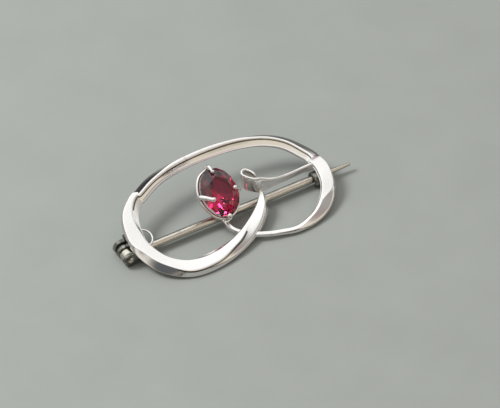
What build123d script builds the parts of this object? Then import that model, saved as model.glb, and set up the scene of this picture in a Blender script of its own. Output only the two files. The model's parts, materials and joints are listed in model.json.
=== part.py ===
from build123d import *
import math
import os

# Garnet brooch: a silver swirl lying on its back, in millimetres, +Z up.
# X runs along the pin from its hinge to its point, and Z = 0 is the surface under the brooch.
# The soldered silver is one solid. The garnet, the pin and the rivet are pieces of their own.

# Swirl, in its own flat plane
swirl_length = 35.8
swirl_width = 20.2
hinge_to_swirl = 0.55
pin_to_near_edge = 8.75
band_width = 2.8
band_height = 1.25
band_edge = 0.6
band_bulge = 0.05
back_above_pin = 1.1

# Pin and its hinge
pin_diameter = 1.3
pin_length = 40.5
pin_taper = 8.0
pin_point = 0.5
neck_height = 1.0
neck_end = 3.3
eye_diameter = 2.1
rivet_diameter = 0.7
rivet_head = 1.15
rivet_head_height = 0.22
ear_near = 0.6
ear_far = 0.7
ear_gap = 0.5
ear_reach = 2.7
side_clearance = 0.07
turn_clearance = 0.04
seat_gap = 0.03

# Catch, a C of bent strip with its mouth down
catch_bore = 1.8
catch_wall = 0.35
catch_length = 2.3
catch_end = 35.8
catch_clearance = 0.05

# Ring for a safety chain, flat against the back of the band
ring_diameter = 3.16
ring_wire = 0.34
ring_past_band = 1.35
ring_off_pin = 1.2

# Leaf with its rolled end, a strip that leans away from the pin
leaf_length = 9.7
leaf_width = 2.7
leaf_thickness = 0.42
leaf_lean = 65.0
leaf_root_x = 34.4
leaf_near_y = 0.9
leaf_above_back = 0.12
scroll_size = 2.5

# Garnet, an oval with its long way across the pin
stone_length = 8.0
stone_width = 6.0
crown_height = 1.0
girdle_height = 0.24
pavilion_depth = 2.6
table_share = 0.6
stone_gap = 0.05

# Claw setting
setting_x = 17.2
setting_y = 3.1
setting_lean = 18.0
girdle_above_base = 3.3
claw_wire = 0.64
gallery_wire = 0.52
gallery_below_girdle = 1.25
gallery_outset = 0.1
oval_end_share = 0.84
base_wire = 0.76
base_share = 0.5
base_lift = 0.35

pin_radius = pin_diameter / 2
catch_inner = catch_bore / 2
catch_outer = catch_inner + catch_wall
catch_mouth = pin_diameter + 2 * side_clearance
catch_height = math.sqrt(catch_outer**2 - (catch_mouth / 2) ** 2)
pin_height = catch_height + catch_inner - pin_radius - catch_clearance

# The brooch leans on the near edge of its band, so its plane is turned about the pin until that edge is down.
near_reach = math.hypot(pin_to_near_edge, back_above_pin)
rest_turn = math.degrees(
    math.asin(pin_height / near_reach) + math.atan2(back_above_pin, pin_to_near_edge)
)
swirl_place = Pos(0, 0, pin_height) * Rot(rest_turn, 0, 0)

# Swirl from its point, round the near side, the hinge end, the far arch and the lobe, back to its near side.
# along and across: shares of the swirl's length and width. width and height: shares of the band's.
# ridge: the ridge's place, 0 at the inner edge and 1 at the outer one. edge: share of the edge's height.
SWIRL = [
    dict(along=0.662, across=0.452, width=0.17, ridge=0.50, height=0.42, edge=0.60),
    dict(along=0.627, across=0.345, width=0.48, ridge=0.50, height=0.70, edge=0.75),
    dict(along=0.549, across=0.218, width=0.77, ridge=0.54, height=0.90, edge=0.95),
    dict(along=0.440, across=0.117, width=0.93, ridge=0.62, height=1.00, edge=1.00),
    dict(along=0.317, across=0.066, width=0.96, ridge=0.68, height=1.00, edge=1.00),
    dict(along=0.197, across=0.079, width=1.00, ridge=0.72, height=1.00, edge=1.00),
    dict(along=0.104, across=0.178, width=1.00, ridge=0.72, height=1.00, edge=1.00),
    dict(along=0.052, across=0.329, width=1.00, ridge=0.70, height=1.00, edge=1.00),
    dict(along=0.040, across=0.485, width=0.99, ridge=0.70, height=1.00, edge=1.00),
    dict(along=0.071, across=0.673, width=0.90, ridge=0.70, height=1.00, edge=1.00),
    dict(along=0.149, across=0.818, width=0.76, ridge=0.72, height=1.00, edge=1.00),
    dict(along=0.261, across=0.921, width=0.67, ridge=0.74, height=1.00, edge=1.00),
    dict(along=0.398, across=0.957, width=0.64, ridge=0.75, height=1.00, edge=1.00),
    dict(along=0.543, across=0.955, width=0.64, ridge=0.75, height=1.00, edge=1.00),
    dict(along=0.672, across=0.929, width=0.67, ridge=0.74, height=1.00, edge=1.00),
    dict(along=0.789, across=0.873, width=0.71, ridge=0.70, height=1.00, edge=1.00),
    dict(along=0.877, across=0.776, width=0.76, ridge=0.64, height=0.98, edge=1.00),
    dict(along=0.940, across=0.621, width=0.82, ridge=0.56, height=0.92, edge=1.00),
    dict(along=0.968, across=0.448, width=0.85, ridge=0.48, height=0.86, edge=0.90),
    dict(along=0.951, across=0.299, width=0.86, ridge=0.42, height=0.84, edge=0.85),
    dict(along=0.892, across=0.161, width=0.84, ridge=0.40, height=0.82, edge=0.80),
    dict(along=0.811, across=0.077, width=0.62, ridge=0.42, height=0.74, edge=0.75),
    dict(along=0.716, across=0.054, width=0.39, ridge=0.46, height=0.62, edge=0.65),
    dict(along=0.639, across=0.084, width=0.28, ridge=0.50, height=0.53, edge=0.60),
    dict(along=0.603, across=0.101, width=0.26, ridge=0.50, height=0.50, edge=0.58),
    dict(along=0.562, across=0.128, width=0.25, ridge=0.50, height=0.49, edge=0.56),
]

# Wire end of the swirl, which goes on below the near side and rises to the setting. Columns as in SWIRL.
WIRE = [
    dict(along=0.512, across=0.172, width=0.24, ridge=0.50, height=0.48, edge=0.55),
    dict(along=0.460, across=0.255, width=0.22, ridge=0.50, height=0.48, edge=0.55),
    dict(along=0.443, across=0.369, width=0.22, ridge=0.50, height=0.48, edge=0.55),
    dict(along=0.452, across=0.500, width=0.22, ridge=0.50, height=0.48, edge=0.55),
]

# Leaf from its soldered root to the start of its roll. along: share of the leaf's length.
# off: share of its width, away from the pin. width: share of its width.
LEAF = [
    dict(along=0.00, off=0.04, width=0.44),
    dict(along=0.12, off=0.09, width=0.40),
    dict(along=0.26, off=0.09, width=0.37),
    dict(along=0.47, off=0.03, width=0.40),
    dict(along=0.66, off=0.03, width=0.43),
    dict(along=0.80, off=0.01, width=0.58),
    dict(along=0.91, off=-0.02, width=0.80),
    dict(along=1.00, off=-0.03, width=1.00),
]

# Rolled end of the leaf as arcs that follow each other, seen from above.
# radius: share of the scroll's size. turn: degrees to the right.
SCROLL = [
    dict(radius=0.88, turn=40.0),
    dict(radius=2.00, turn=15.0),
    dict(radius=0.25, turn=165.0),
    dict(radius=0.96, turn=45.0),
]

# Claws round the oval. angle: degrees from +X in the stone's plane. over: length that lies over the crown.
# aim: degrees by which that length is bent aside from the stone's middle.
CLAWS = [
    dict(name="right", angle=-8.0, over=0.75, aim=0.0),
    dict(name="far", angle=91.0, over=0.65, aim=0.0),
    dict(name="left", angle=169.0, over=1.45, aim=-21.0),
    dict(name="near", angle=263.0, over=0.15, aim=0.0),
]


def heading(points, i):
    """Direction of the curve at one of its points, from the circle through the point and its neighbours."""
    if i == 0:
        return (points[1] - points[0]).normalized()
    if i == len(points) - 1:
        return (points[-1] - points[-2]).normalized()
    before = points[i] - points[i - 1]
    after = points[i + 1] - points[i]
    weighted = before / before.length**2 + after / after.length**2
    return weighted.normalized()


def band_section(row, centre, direction):
    """One cross-section of the band: flat back, two edge walls, and a ridge between two slopes."""
    half = row["width"] * band_width / 2
    edge = row["edge"] * band_edge
    top = row["height"] * band_height
    ridge = (2 * row["ridge"] - 1) * half
    bulge = band_bulge * row["width"]
    outward = Vector(0, 0, 1).cross(direction)
    plane = Plane(origin=centre, x_dir=outward, z_dir=direction)
    inner_middle = ((ridge - half) / 2, (edge + top) / 2 + bulge)
    outer_middle = ((ridge + half) / 2, (edge + top) / 2 + bulge)
    outline = [
        Polyline((-half, edge), (-half, 0), (half, 0), (half, edge)),
        ThreePointArc((half, edge), outer_middle, (ridge, top)),
        ThreePointArc((ridge, top), inner_middle, (-half, edge)),
    ]
    return plane * make_face(outline)


def swirl_band():
    """The band from its point to its wire end, flat at its back. It crosses itself, so it is two lofts."""
    rows = SWIRL + WIRE
    points = [
        Vector(
            hinge_to_swirl + row["along"] * swirl_length,
            row["across"] * swirl_width - pin_to_near_edge,
            back_above_pin,
        )
        for row in rows
    ]
    sections = [band_section(row, points[i], heading(points, i)) for i, row in enumerate(rows)]
    joint = len(SWIRL) - 1
    return loft(sections[: joint + 1]) + loft(sections[joint:])


def leaf_point(row):
    """Foot of the leaf's strip at one of its rows."""
    return Vector(
        leaf_root_x - row["along"] * leaf_length,
        leaf_near_y + row["off"] * leaf_width,
        back_above_pin + leaf_above_back,
    )


def leaf():
    """The leaf: a leaning strip that widens from its root and rolls up into an open scroll."""
    lean = math.radians(leaf_lean)
    rise = Vector(0, math.cos(lean), math.sin(lean))
    points = [leaf_point(row) for row in LEAF]
    sections = []
    for i, row in enumerate(LEAF):
        side = Vector(0, 0, 1).cross(heading(points, i)) * (leaf_thickness / 2)
        height = rise * (row["width"] * leaf_width)
        corners = [points[i] - side, points[i] + side, points[i] + side + height, points[i] - side + height]
        sections.append(Face(Wire.make_polygon(corners)))
    start, tangent = points[-1], Vector(-1, 0, 0)
    roll = []
    for row in SCROLL:
        arc = JernArc(start=start, tangent=tangent, radius=row["radius"] * scroll_size, arc_size=-row["turn"])
        roll.append(arc)
        start, tangent = arc @ 1, arc % 1
    return loft(sections) + extrude(trace(roll, leaf_thickness), leaf_width, dir=rise)


def stone_ring(count, radius, height, turned):
    """Points of the stone on an oval of a share of its size."""
    step = 2 * math.pi / count
    first = step / 2 if turned else 0.0
    return [
        Vector(
            math.cos(first + step * i) * radius * stone_width / 2,
            math.sin(first + step * i) * radius * stone_length / 2,
            height,
        )
        for i in range(count)
    ]


def garnet():
    """An oval cut with a table, 8 star, 8 main and 16 girdle facets over 24 pavilion facets."""
    mains = 8
    half_step = math.cos(math.pi / mains)
    crown_share = (1 + table_share) / 2 + 0.02
    crown_drop = (crown_share * half_step - table_share) / (1 - table_share)
    low_share = 0.3
    top = crown_height + girdle_height / 2
    middle_height = top - crown_drop * crown_height
    bottom = -girdle_height / 2 - pavilion_depth
    low_height = bottom + low_share * half_step * pavilion_depth
    table = stone_ring(mains, table_share, top, False)
    middle = stone_ring(mains, crown_share, middle_height, True)
    upper = stone_ring(2 * mains, 1.0, girdle_height / 2, False)
    lower = stone_ring(2 * mains, 1.0, -girdle_height / 2, False)
    low = stone_ring(mains, low_share, low_height, True)
    culet = Vector(0, 0, bottom)
    facets = [table]
    for i in range(mains):
        j = (i + 1) % mains
        corner, between, following = 2 * i, 2 * i + 1, (2 * i + 2) % (2 * mains)
        facets += [
            [table[i], middle[i], table[j]],
            [table[i], middle[i - 1], upper[corner], middle[i]],
            [middle[i], upper[corner], upper[between]],
            [middle[i], upper[between], upper[following]],
            [lower[corner], low[i], lower[between]],
            [lower[between], low[i], lower[following]],
            [culet, low[i], lower[corner], low[i - 1]],
        ]
    for i in range(2 * mains):
        j = (i + 1) % (2 * mains)
        facets.append([lower[i], lower[j], upper[j], upper[i]])
    return Solid(Shell([Face(Wire.make_polygon(points)) for points in facets]))


def wire_oval(x_radius, y_radius, height, wire):
    """A closed oval of round wire, flat in the stone's plane, of four arcs that run into each other."""
    end_radius = oval_end_share * x_radius
    rise = y_radius - end_radius
    side_radius = (x_radius**2 + rise**2 - end_radius**2) / (2 * (x_radius - end_radius))
    half = math.degrees(math.atan2(rise, side_radius - x_radius))
    path = Wire(
        [
            CenterArc((x_radius - side_radius, 0, height), side_radius, -half, 2 * half),
            CenterArc((0, rise, height), end_radius, half, 180 - 2 * half),
            CenterArc((side_radius - x_radius, 0, height), side_radius, 180 - half, 2 * half),
            CenterArc((0, -rise, height), end_radius, 180 + half, 180 - 2 * half),
        ]
    )
    start = Plane(origin=path @ 0, z_dir=path % 0)
    return sweep(start * Circle(wire / 2), path=path)


def claw(row):
    """One claw: up from the base, out to the gallery, past the girdle and over the crown, with a round tip."""
    angle = math.radians(row["angle"])
    x_share, y_share = math.cos(angle), math.sin(angle)
    inward = Vector(-x_share, -y_share, 0).rotate(Axis.Z, row["aim"])
    outset = claw_wire / 2 + stone_gap

    def at(grow, share, height):
        return Vector(
            x_share * (share * stone_width / 2 + grow),
            y_share * (share * stone_length / 2 + grow),
            height,
        )

    stone_radius = math.hypot(x_share * stone_width / 2, y_share * stone_length / 2)
    slope = crown_height / ((1 - table_share) * stone_radius)
    over_crown = girdle_height / 2 + outset * math.hypot(1, slope)
    corner = at(outset, 1, girdle_above_base + over_crown - slope * outset)
    path = FilletPolyline(
        at(0, base_share, base_lift),
        at(outset, 1, girdle_above_base - gallery_below_girdle),
        corner,
        corner + (inward + Vector(0, 0, slope)) * (outset + row["over"]),
        radius=claw_wire / 2 + 0.02,
    )
    start = Plane(origin=path @ 0, z_dir=path % 0)
    tip = Pos(*(path @ 1)) * Sphere(claw_wire / 2)
    return sweep(start * Circle(claw_wire / 2), path=path) + tip


def setting_place():
    """Place of the setting's base in the swirl's plane, leaning towards the near side."""
    return Pos(setting_x, setting_y, back_above_pin) * Rot(setting_lean, 0, 0)


def claw_setting():
    """Four claws on a small base oval, held round the stone by a gallery wire."""
    base = wire_oval(base_share * stone_width / 2, base_share * stone_length / 2, base_lift, base_wire)
    gallery = wire_oval(
        stone_width / 2 + gallery_outset,
        stone_length / 2 + gallery_outset,
        girdle_above_base - gallery_below_girdle,
        gallery_wire,
    )
    setting = base + gallery
    for row in CLAWS:
        setting += claw(row)
    return setting


def back_height(y):
    """Height of the band's back over the surface, above the line at y."""
    turn = math.radians(rest_turn)
    return pin_height + back_above_pin / math.cos(turn) + y * math.tan(turn)


def ear_spans():
    """Where the hinge's three ears lie across the pin: one near it, one beyond it and an outer one."""
    slot = pin_radius + side_clearance
    return [
        (-slot - ear_near, -slot),
        (slot, slot + ear_far),
        (slot + ear_far + ear_gap, slot + 2 * ear_far + ear_gap),
    ]


def hinge_ears():
    """Three round ears with stalks that are soldered under the band, bored for the rivet."""
    ears = None
    for low, high in ear_spans():
        middle = (low + high) / 2
        top = back_height(middle) + band_edge / 2
        plate = Plane.XZ * (Pos(0, pin_height) * Circle(pin_height))
        stalk = Plane.XZ * (
            Pos((hinge_to_swirl + ear_reach) / 2, (top + pin_height - rivet_diameter) / 2)
            * Rectangle(ear_reach - hinge_to_swirl, top - pin_height + rivet_diameter)
        )
        ear = Pos(0, high, 0) * extrude(plate + stalk, high - low)
        ears = ear if ears is None else ears + ear
    bore = Plane.XZ * (Pos(0, pin_height) * Circle(rivet_diameter / 2 + seat_gap))
    return ears - extrude(bore, 2 * eye_diameter + 4, both=True)


def hinge_rivet():
    """A plain rivet through the ears and the pin's eye, with a low dome at each end."""
    spans = ear_spans()
    low, high = spans[0][0] - seat_gap, spans[-1][1] + seat_gap
    shank = Plane.XZ * (Pos(0, pin_height) * Circle(rivet_diameter / 2))
    rivet = Pos(0, high, 0) * extrude(shank, high - low)
    dome = (rivet_head / 2) ** 2 / (2 * rivet_head_height) + rivet_head_height / 2
    for face, way in ((low, -1), (high, 1)):
        ball = Pos(0, face - way * (dome - rivet_head_height), pin_height) * Sphere(dome)
        keep = Pos(0, face + way * rivet_head_height, pin_height) * Box(
            2 * rivet_head, 2 * rivet_head_height, 2 * rivet_head
        )
        rivet += ball & keep
    return rivet


def pin_stem():
    """The pin: a flat eye on the rivet, a flat neck, a round stem and a long taper to a blunt point."""
    eye = Plane.XZ * (Pos(0, pin_height) * Circle(eye_diameter / 2))
    neck = Plane.XZ * (Pos(neck_end / 2, pin_height) * Rectangle(neck_end, neck_height))
    pin = extrude(eye + neck, pin_radius, both=True)
    stem_start = Plane(origin=(neck_end - pin_radius / 2, 0, pin_height), z_dir=(1, 0, 0))
    pin += extrude(stem_start * Circle(pin_radius), pin_length - pin_taper - neck_end + pin_radius / 2)
    taper_start = Plane(origin=(pin_length - pin_taper, 0, pin_height), z_dir=(1, 0, 0))
    point_start = Plane(origin=(pin_length - pin_point / 2, 0, pin_height), z_dir=(1, 0, 0))
    pin += loft([taper_start * Circle(pin_radius), point_start * Circle(pin_point / 2)])
    pin += Pos(pin_length - pin_point / 2, 0, pin_height) * Sphere(pin_point / 2)
    bore = Plane.XZ * (Pos(0, pin_height) * Circle(rivet_diameter / 2 + turn_clearance))
    return pin - extrude(bore, pin_diameter, both=True)


def catch():
    """A C of strip round the pin, open downwards, on a small block soldered under the lobe."""
    start = Plane(origin=(catch_end - catch_length, 0, catch_height), z_dir=(1, 0, 0))
    ring = start * (Circle(catch_outer) - Circle(catch_inner))
    hook = extrude(ring, catch_length)
    mouth = Pos(catch_end - catch_length / 2, 0, catch_height - catch_outer / 2) * Box(
        2 * catch_length, catch_mouth, catch_outer
    )
    low = catch_height + catch_inner + catch_wall / 2
    high = back_height(0) + band_edge / 2
    block = Pos(catch_end - catch_length * 0.35, 0, (low + high) / 2) * Box(
        catch_length * 0.7, catch_inner * 1.6, high - low
    )
    return hook - mouth + block


def chain_ring():
    """A closed ring of thin wire, soldered flat against the band's back beside the hinge."""
    radius = ring_diameter / 2
    return Pos(hinge_to_swirl + band_width + ring_past_band + 0.1 - radius, ring_off_pin, back_above_pin) * Torus(
        radius, ring_wire / 2
    )


def silver_frame():
    """All the soldered silver as one solid."""
    flat = swirl_band() + leaf()
    flat += setting_place() * claw_setting()
    flat += chain_ring()
    return swirl_place * flat + hinge_ears() + catch()


nodes = {
    "silver_frame": silver_frame(),
    "garnet": swirl_place * setting_place() * Pos(0, 0, girdle_above_base) * garnet(),
    "pin_stem": pin_stem(),
    "hinge_rivet": hinge_rivet(),
}

# The origin is on the surface under the brooch, below the middle of the whole.
boxes = [shape.bounding_box() for shape in nodes.values()]
middle_x = (min(box.min.X for box in boxes) + max(box.max.X for box in boxes)) / 2
middle_y = (min(box.min.Y for box in boxes) + max(box.max.Y for box in boxes)) / 2
to_origin = Pos(-middle_x, -middle_y, -min(box.min.Z for box in boxes))

os.makedirs("parts", exist_ok=True)
for name, shape in nodes.items():
    export_step(to_origin * shape, f"parts/{name}.step")
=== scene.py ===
"""Looks of a garnet brooch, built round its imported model, which stays as the fixed frame.

A silver swirl band with two ridges and a fine groove lies on its back. It carries a faceted garnet in four claws,
a leaf with a rolled end, a pin with its hinge and catch, and a small ring. Sizes are in millimetres, meshes in
metres.
"""

import json
import logging
import math
from dataclasses import dataclass, field, fields
from enum import Enum
from typing import Iterable, Sequence

import bmesh
import bpy
from mathutils import Matrix, Vector

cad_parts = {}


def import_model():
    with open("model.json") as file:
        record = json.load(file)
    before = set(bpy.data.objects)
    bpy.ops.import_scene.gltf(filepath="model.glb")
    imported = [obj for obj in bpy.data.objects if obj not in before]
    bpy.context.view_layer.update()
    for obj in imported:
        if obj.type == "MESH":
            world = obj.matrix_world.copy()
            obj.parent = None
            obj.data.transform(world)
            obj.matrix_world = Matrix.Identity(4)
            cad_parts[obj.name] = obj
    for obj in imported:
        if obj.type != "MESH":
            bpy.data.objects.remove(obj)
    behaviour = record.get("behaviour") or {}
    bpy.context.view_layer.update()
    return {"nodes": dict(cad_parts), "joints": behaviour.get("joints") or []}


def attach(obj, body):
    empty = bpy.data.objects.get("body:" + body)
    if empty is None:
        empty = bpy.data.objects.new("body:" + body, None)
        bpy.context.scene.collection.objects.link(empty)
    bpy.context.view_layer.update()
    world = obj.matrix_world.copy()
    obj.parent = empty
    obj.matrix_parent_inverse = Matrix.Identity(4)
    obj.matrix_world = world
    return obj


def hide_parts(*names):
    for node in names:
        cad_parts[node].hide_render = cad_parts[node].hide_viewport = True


MM = 0.001
WIRE_SIDES = 14
BEVEL_STEPS = 3
TIP_ANGLES = (22.0, 44.0, 62.0, 76.0, 86.0)

# Sockets of a Mix node that mixes colours.
MIX_SHARE = 0
MIX_COLOURS = (6, 7)
MIX_RESULT = 2

log = logging.getLogger("brooch")

Triple = tuple[float, float, float]
Colour = Triple


class Body(Enum):
    """The two bodies of the brooch."""

    BROOCH = "brooch"
    PIN = "pin"


class Slot(Enum):
    """The record's material slots, named for the new pieces but not used."""

    SILVER = "polished_silver"
    PIN = "pin_metal"


class Edges(Enum):
    """The angle, in degrees, over which an edge stays sharp when a piece is smoothed."""

    BEVELLED = 35.0
    TURNED = 50.0
    WIRE = 60.0


class Blend(Enum):
    """How one colour is laid over another."""

    MIX = "MIX"
    MULTIPLY = "MULTIPLY"


# Places in the frame


@dataclass(frozen=True)
class Layout:
    """Where the brooch's own planes lie in the frame."""

    pivot: Vector
    rest_turn: float = 15.129

    def on_swirl(self, point: Vector) -> Vector:
        """Turns a point of the swirl's plane into the frame.

        Args:
            point: the point in millimetres from the hinge's middle, z away from the band's back.

        Returns:
            The point in metres, in the frame.
        """
        return self.pivot + Matrix.Rotation(math.radians(self.rest_turn), 3, "X") @ point * MM

    def on_pin(self, point: Vector) -> Vector:
        """Turns a point beside the pin into the frame.

        Args:
            point: the point in millimetres from the hinge's middle.

        Returns:
            The point in metres, in the frame.
        """
        return self.pivot + point * MM


# Modelling


def deselect_all() -> None:
    """Leaves edit mode and clears the selection."""
    if bpy.context.object is not None and bpy.context.object.mode != "OBJECT":
        bpy.ops.object.mode_set(mode="OBJECT")
    bpy.ops.object.select_all(action="DESELECT")


def pick(piece: bpy.types.Object) -> None:
    """Selects one piece alone and makes it the active one.

    Args:
        piece: the piece.
    """
    deselect_all()
    piece.select_set(True)
    bpy.context.view_layer.objects.active = piece


def select_vertices(piece: bpy.types.Object, indices: Iterable[int]) -> None:
    """Selects only the named vertices of a piece, with the edges between them.

    Args:
        piece: the piece, in edit mode.
        indices: the vertices' numbers.
    """
    bpy.ops.mesh.select_all(action="DESELECT")
    mesh = bmesh.from_edit_mesh(piece.data)
    mesh.verts.ensure_lookup_table()
    for index in indices:
        mesh.verts[index].select = True
    mesh.select_flush_mode()
    bmesh.update_edit_mesh(piece.data)


@dataclass
class Skin:
    """A skin drawn by hand: a ring is placed, extruded, and placed again, as often as there are rings."""

    name: str
    rings: Sequence[Sequence[Vector]]
    closed: bool = False

    def build(self) -> bpy.types.Object:
        """Makes the skin.

        Returns:
            The piece, at the origin, with its faces outwards.
        """
        count = len(self.rings[0])
        deselect_all()
        bpy.ops.mesh.primitive_circle_add(vertices=count, radius=MM, fill_type="NOTHING")
        piece = bpy.context.object
        piece.name = piece.data.name = self.name
        bpy.ops.object.mode_set(mode="EDIT")
        bpy.ops.mesh.select_mode(type="VERT")
        loops = [list(range(count))]
        self._place(piece, loops[0], self.rings[0])
        for ring in self.rings[1:]:
            select_vertices(piece, loops[-1])
            bpy.ops.mesh.extrude_region_move(TRANSFORM_OT_translate={"value": (0, 0, 0)})
            loops.append(self._follow(piece, loops[-1]))
            self._place(piece, loops[-1], ring)
        if self.closed:
            select_vertices(piece, loops[0] + loops[-1])
            bpy.ops.mesh.bridge_edge_loops()
        else:
            for loop in (loops[0], loops[-1]):
                select_vertices(piece, loop)
                bpy.ops.mesh.edge_face_add()
        bpy.ops.mesh.select_all(action="SELECT")
        bpy.ops.mesh.normals_make_consistent(inside=False)
        bpy.ops.object.mode_set(mode="OBJECT")
        return piece

    def _follow(self, piece: bpy.types.Object, loop: Sequence[int]) -> list[int]:
        """Finds the vertices that an extrusion has drawn from a loop.

        Args:
            piece: the skin so far, with the drawn vertices selected.
            loop: the vertices that they were drawn from.

        Returns:
            The drawn vertices, in the loop's order.
        """
        mesh = bmesh.from_edit_mesh(piece.data)
        mesh.verts.ensure_lookup_table()
        drawn = {}
        for index in loop:
            for edge in mesh.verts[index].link_edges:
                other = edge.other_vert(mesh.verts[index])
                if other.select:
                    drawn[index] = other.index
        return [drawn[index] for index in loop]

    def _place(self, piece: bpy.types.Object, loop: Sequence[int], ring: Sequence[Vector]) -> None:
        """Moves each vertex of a loop to its place on a ring.

        Args:
            piece: the skin so far.
            loop: the vertices to move.
            ring: the places that they go to.
        """
        mesh = bmesh.from_edit_mesh(piece.data)
        mesh.verts.ensure_lookup_table()
        now = [mesh.verts[index].co.copy() for index in loop]
        for index, start, end in zip(loop, now, ring):
            select_vertices(piece, [index])
            bpy.ops.transform.translate(value=end - start)


def finish_skin(
    piece: bpy.types.Object, levels: int = 0, edges: Edges = Edges.WIRE, bevel: float = 0.0
) -> bpy.types.Object:
    """Rounds, divides and smooths a piece.

    Args:
        piece: the piece to finish.
        levels: how often it is subdivided. A subdivided piece is smooth all over.
        edges: which edges of an undivided piece stay sharp.
        bevel: width of the rounding of its edges.

    Returns:
        The same piece.
    """
    pick(piece)
    if bevel > 0:
        rounding = piece.modifiers.new("rounding", "BEVEL")
        rounding.width, rounding.segments, rounding.limit_method = bevel * MM, BEVEL_STEPS, "ANGLE"
        rounding.angle_limit = math.radians(Edges.BEVELLED.value)
        bpy.ops.object.modifier_apply(modifier=rounding.name)
    if levels > 0:
        divide = piece.modifiers.new("divide", "SUBSURF")
        divide.levels = divide.render_levels = levels
        bpy.ops.object.modifier_apply(modifier=divide.name)
        bpy.ops.object.shade_smooth()
    else:
        bpy.ops.object.shade_smooth_by_angle(angle=math.radians(edges.value))
    return piece


def round_corners(
    corners: Sequence[Vector], radius: float, steps: int = 5, most: float = 0.45
) -> list[Vector]:
    """Rounds the corners of a path.

    Args:
        corners: the path's points.
        radius: radius of the roundings.
        steps: points on each rounding.
        most: the largest share of a side that a rounding takes up.

    Returns:
        The points of the rounded path.
    """
    path = [corners[0]]
    for before, corner, after in zip(corners, corners[1:], corners[2:]):
        back, ahead = (before - corner).normalized(), (after - corner).normalized()
        turn = math.pi - back.angle(ahead)
        reach = min(radius * math.tan(turn / 2), most * (before - corner).length, most * (after - corner).length)
        for step in range(steps + 1):
            share = step / steps
            path.append(corner + back * reach * (1 - share) ** 2 + ahead * reach * share**2)
    path.append(corners[-1])
    return path


def tube_rings(
    path: Sequence[Vector], radii: Sequence[float], side: Vector, around: int = WIRE_SIDES
) -> list[list[Vector]]:
    """Draws round rings along a path.

    Args:
        path: the path's points.
        radii: the tube's radius at each of them.
        side: a direction that is never along the path.
        around: points on each ring.

    Returns:
        The rings.
    """
    rings = []
    for i, point in enumerate(path):
        tangent = (path[min(i + 1, len(path) - 1)] - path[max(i - 1, 0)]).normalized()
        first = (side - tangent * side.dot(tangent)).normalized()
        second = tangent.cross(first)
        rings.append(
            [
                point + (first * math.cos(a) + second * math.sin(a)) * radii[i]
                for a in (2 * math.pi * k / around for k in range(around))
            ]
        )
    return rings


def round_tip(path: list[Vector], radii: list[float]) -> None:
    """Adds a round tip to the end of a tube.

    Args:
        path: the points of the tube's path, to which the tip's points are added.
        radii: the tube's radius at each of them, to which the tip's radii are added.
    """
    tangent, radius, end = (path[-1] - path[-2]).normalized(), radii[-1], path[-1]
    for degrees in TIP_ANGLES:
        angle = math.radians(degrees)
        path.append(end + tangent * radius * math.sin(angle))
        radii.append(radius * math.cos(angle))


# Finishes


class Nodes:
    """A node tree with short ways to add and join nodes."""

    def __init__(self, tree: bpy.types.NodeTree) -> None:
        """Takes the tree and empties it."""
        self.tree = tree
        tree.nodes.clear()

    def add(self, kind: str, **values: object) -> bpy.types.Node:
        """Adds a node.

        Args:
            kind: the node's type.
            values: its properties, or its input sockets by name with blanks written as underscores.

        Returns:
            The node.
        """
        node = self.tree.nodes.new(kind)
        for name, value in values.items():
            if hasattr(node, name):
                setattr(node, name, value)
            else:
                node.inputs[name.replace("_", " ")].default_value = value
        return node

    def join(self, source: bpy.types.NodeSocket, target: bpy.types.NodeSocket) -> None:
        """Links two sockets."""
        self.tree.links.new(source, target)

    def maths(self, operation: str, first: object, second: object = 0.0) -> bpy.types.NodeSocket:
        """Adds a Math node.

        Args:
            operation: what it does.
            first: its first value, a socket or a number.
            second: its second value, a socket or a number.

        Returns:
            Its result.
        """
        node = self.tree.nodes.new("ShaderNodeMath")
        node.operation = operation
        for socket, value in zip(node.inputs, (first, second)):
            if isinstance(value, bpy.types.NodeSocket):
                self.join(value, socket)
            else:
                socket.default_value = value
        return node.outputs[0]

    def spread(
        self, value: bpy.types.NodeSocket, low: float, high: float, start: float = 0.0, end: float = 1.0
    ) -> bpy.types.NodeSocket:
        """Maps a value from one range to another, and no further than its ends.

        Args:
            value: the value.
            low: where the first range starts.
            high: where it ends.
            start: where the second range starts.
            end: where it ends.

        Returns:
            The mapped value.
        """
        node = self.add("ShaderNodeMapRange")
        self.join(value, node.inputs["Value"])
        for name, number in (("From Min", low), ("From Max", high), ("To Min", start), ("To Max", end)):
            node.inputs[name].default_value = number
        return node.outputs[0]

    def mix(
        self, first: object, second: object, share: bpy.types.NodeSocket, blend: Blend = Blend.MIX
    ) -> bpy.types.NodeSocket:
        """Lays one colour over another.

        Args:
            first: the colour below, a socket or three numbers.
            second: the colour above, a socket or three numbers.
            share: how much of the one above is seen.
            blend: how it is laid over the other.

        Returns:
            The mixed colour.
        """
        node = self.add("ShaderNodeMix", data_type="RGBA", blend_type=blend.value)
        self.join(share, node.inputs[MIX_SHARE])
        for number, colour in zip(MIX_COLOURS, (first, second)):
            if isinstance(colour, bpy.types.NodeSocket):
                self.join(colour, node.inputs[number])
            else:
                node.inputs[number].default_value = (*colour, 1.0)
        return node.outputs[MIX_RESULT]

    def show(self, shader: bpy.types.Node, kind: str = "ShaderNodeOutputMaterial") -> None:
        """Sends a shader to the tree's output."""
        self.join(shader.outputs[0], self.add(kind).inputs["Surface"])


def new_material(name: str) -> tuple[bpy.types.Material, Nodes]:
    """Starts a material.

    Args:
        name: the material's name.

    Returns:
        The material, and its nodes, which are still empty.
    """
    material = bpy.data.materials.new(name)
    material.use_nodes = True
    return material, Nodes(material.node_tree)


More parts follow.
